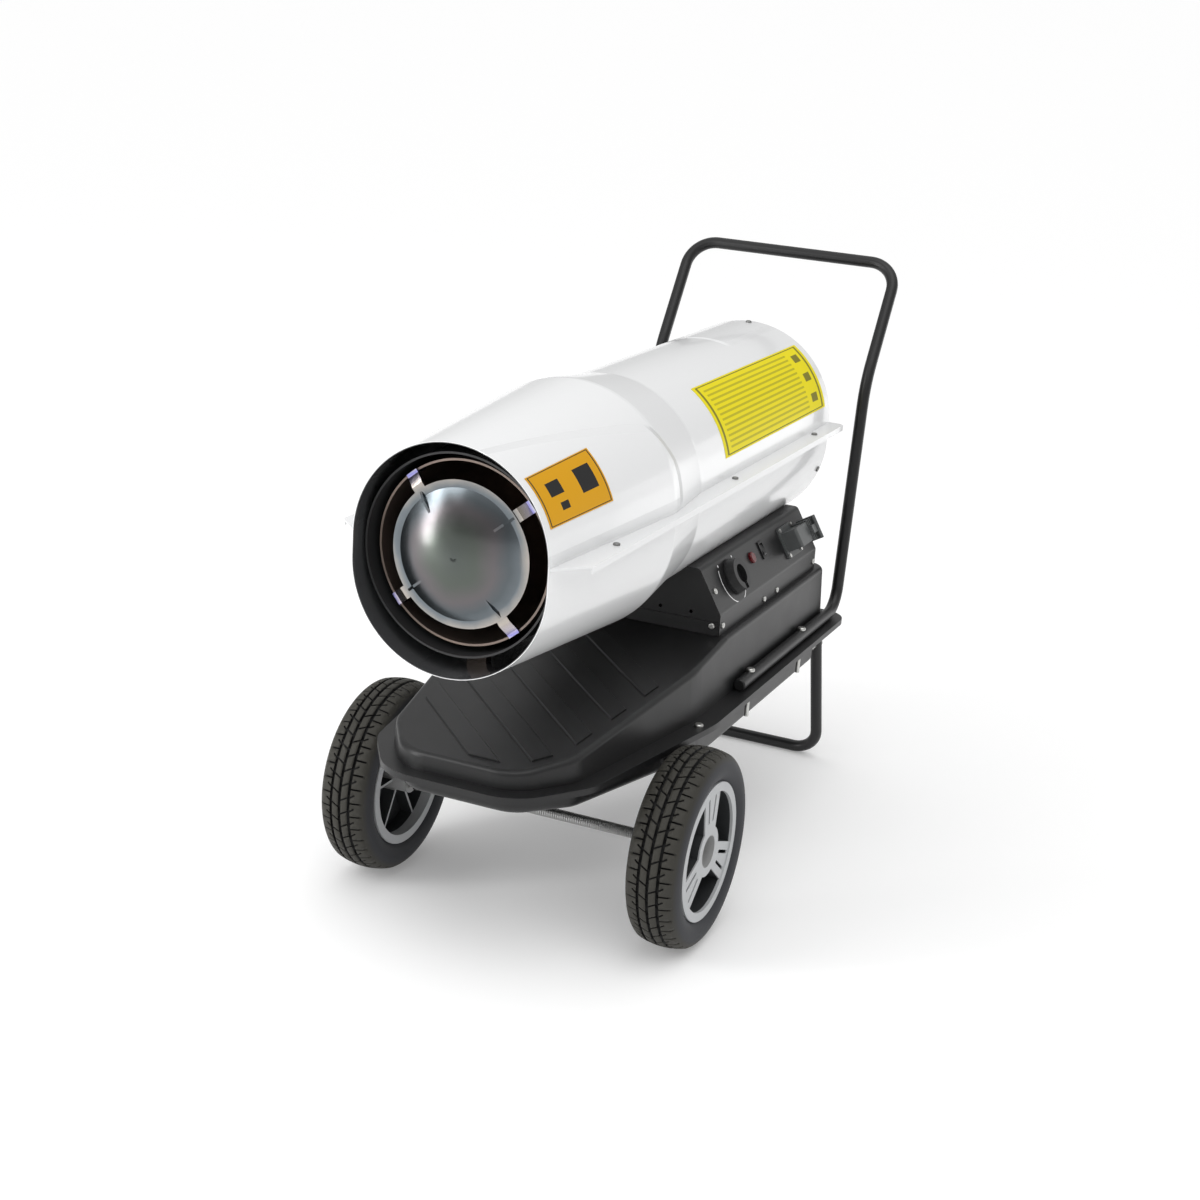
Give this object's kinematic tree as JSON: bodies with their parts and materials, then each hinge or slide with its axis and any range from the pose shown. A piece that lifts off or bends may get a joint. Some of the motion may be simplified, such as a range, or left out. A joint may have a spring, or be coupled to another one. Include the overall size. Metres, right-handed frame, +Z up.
{
  "type": "forced air heater",
  "caption": "Wheeled oil-fired forced air heater: round two-shell barrel with a domed flame deflector on a wedge-shaped fuel tank, with a side control box, push handle and rear foot",
  "frame": {"origin": "on the ground under the centre of the whole heater's plan", "axes": "-Y is the outlet end, +X is the control box side, +Z is up"},
  "size_m": [0.488, 1.0874, 0.7515],
  "materials": {
    "white_paint": "gloss white enamel",
    "black_paint": "satin black powder coat",
    "tyre_rubber": "dull rubber",
    "grey_plastic": "silver-grey moulding",
    "zinc_steel": "bright zinc plate",
    "stainless": "heat-tinted stainless steel",
    "dark_steel": "dark heat-resistant coat",
    "black_plastic": "moulded black",
    "brass": "machined",
    "ceramic": "glazed ceramic",
    "cast_aluminium": "die cast",
    "carbon": "graphite",
    "hose_rubber": "smooth hose",
    "red_lens": "clear red lens",
    "filter_plastic": "translucent moulding",
    "green_board": "lacquered board"
  },
  "bodies": {
    "frame": {"tank_upper": "black_paint", "tank_lower": "black_paint", "filler_neck": "black_paint", "filler_strainer": "zinc_steel", "drain_plug": "zinc_steel", "axle_brackets": "black_paint", "axle": "zinc_steel", "axle_spacers": "zinc_steel", "axle_washers": "zinc_steel", "axle_caps": "zinc_steel", "handle_tube": "black_paint", "handle_end_plugs": "black_plastic", "frame_bolts": "zinc_steel", "frame_nuts": "zinc_steel", "foot_tube": "black_paint", "foot_bolts": "zinc_steel", "upper_shell": "white_paint", "lower_shell": "white_paint", "shell_screws": "zinc_steel", "heat_shield": "dark_steel", "combustion_chamber": "stainless", "chamber_struts": "zinc_steel", "flame_deflector": "stainless", "burner_head": "stainless", "nozzle_block": "brass", "oil_nozzle": "brass", "electrodes": "ceramic", "photocell": "black_plastic", "motor": "cast_aluminium", "motor_pedestal": "black_paint", "air_pump": "cast_aluminium", "pump_cover": "cast_aluminium", "rear_grille": "black_paint", "air_hose": "hose_rubber", "fuel_filter": "filter_plastic", "fuel_line": "hose_rubber", "front_support": "black_paint", "rear_support": "black_paint", "control_cover": "black_paint", "side_cover": "black_paint", "box_screws": "zinc_steel", "thermostat": "black_plastic", "pilot_lamp": "red_lens", "switch_body": "black_plastic", "inlet_housing": "grey_plastic", "inlet_contacts": "brass", "inlet_screws": "zinc_steel", "circuit_board": "green_board", "ignition_transformer": "black_paint"},
    "right_wheel": {"right_tyre": "tyre_rubber", "right_rim": "grey_plastic"},
    "left_wheel": {"left_tyre": "tyre_rubber", "left_rim": "grey_plastic"},
    "rotor": {"fan": "black_plastic", "motor_shaft": "zinc_steel", "pump_rotor": "carbon"},
    "cap": {"fuel_cap": "black_plastic"},
    "knob": {"thermostat_knob": "black_plastic"},
    "rocker": {"switch_rocker": "black_plastic"},
    "lid": {"inlet_lid": "grey_plastic"}
  },
  "joints": [
    {"name": "right_wheel_spin", "type": "hinge", "parent": "frame", "child": "right_wheel", "pos_m": [0.2095, -0.28175, 0.125], "axis": [1, 0, 0], "continuous": true},
    {"name": "left_wheel_spin", "type": "hinge", "parent": "frame", "child": "left_wheel", "pos_m": [-0.2095, -0.28175, 0.125], "axis": [1, 0, 0], "continuous": true},
    {"name": "fan_spin", "type": "hinge", "parent": "frame", "child": "rotor", "pos_m": [0, 0.04825, 0.5155], "axis": [0, 1, 0], "continuous": true},
    {"name": "cap_turn", "type": "hinge", "parent": "frame", "child": "cap", "pos_m": [-0.108, -0.13175, 0.33799], "axis": [0, 0, 1], "range_deg": [0, 90]},
    {"name": "knob_turn", "type": "hinge", "parent": "frame", "child": "knob", "pos_m": [0.1302, 0.02175, 0.37958], "axis": [0.8602, 0, 0.51], "range_deg": [-270, 0]},
    {"name": "switch_tip", "type": "hinge", "parent": "frame", "child": "rocker", "pos_m": [0.12501, 0.14375, 0.38638], "axis": [0, 1, 0], "range_deg": [0, 24]},
    {"name": "lid_hinge", "type": "hinge", "parent": "frame", "child": "lid", "pos_m": [0.15893, 0.28275, 0.39487], "axis": [0.51, 0, -0.8602], "range_deg": [0, 110], "stiffness_Nm_per_rad": 0.01, "springref_deg": -11.46}
  ]
}
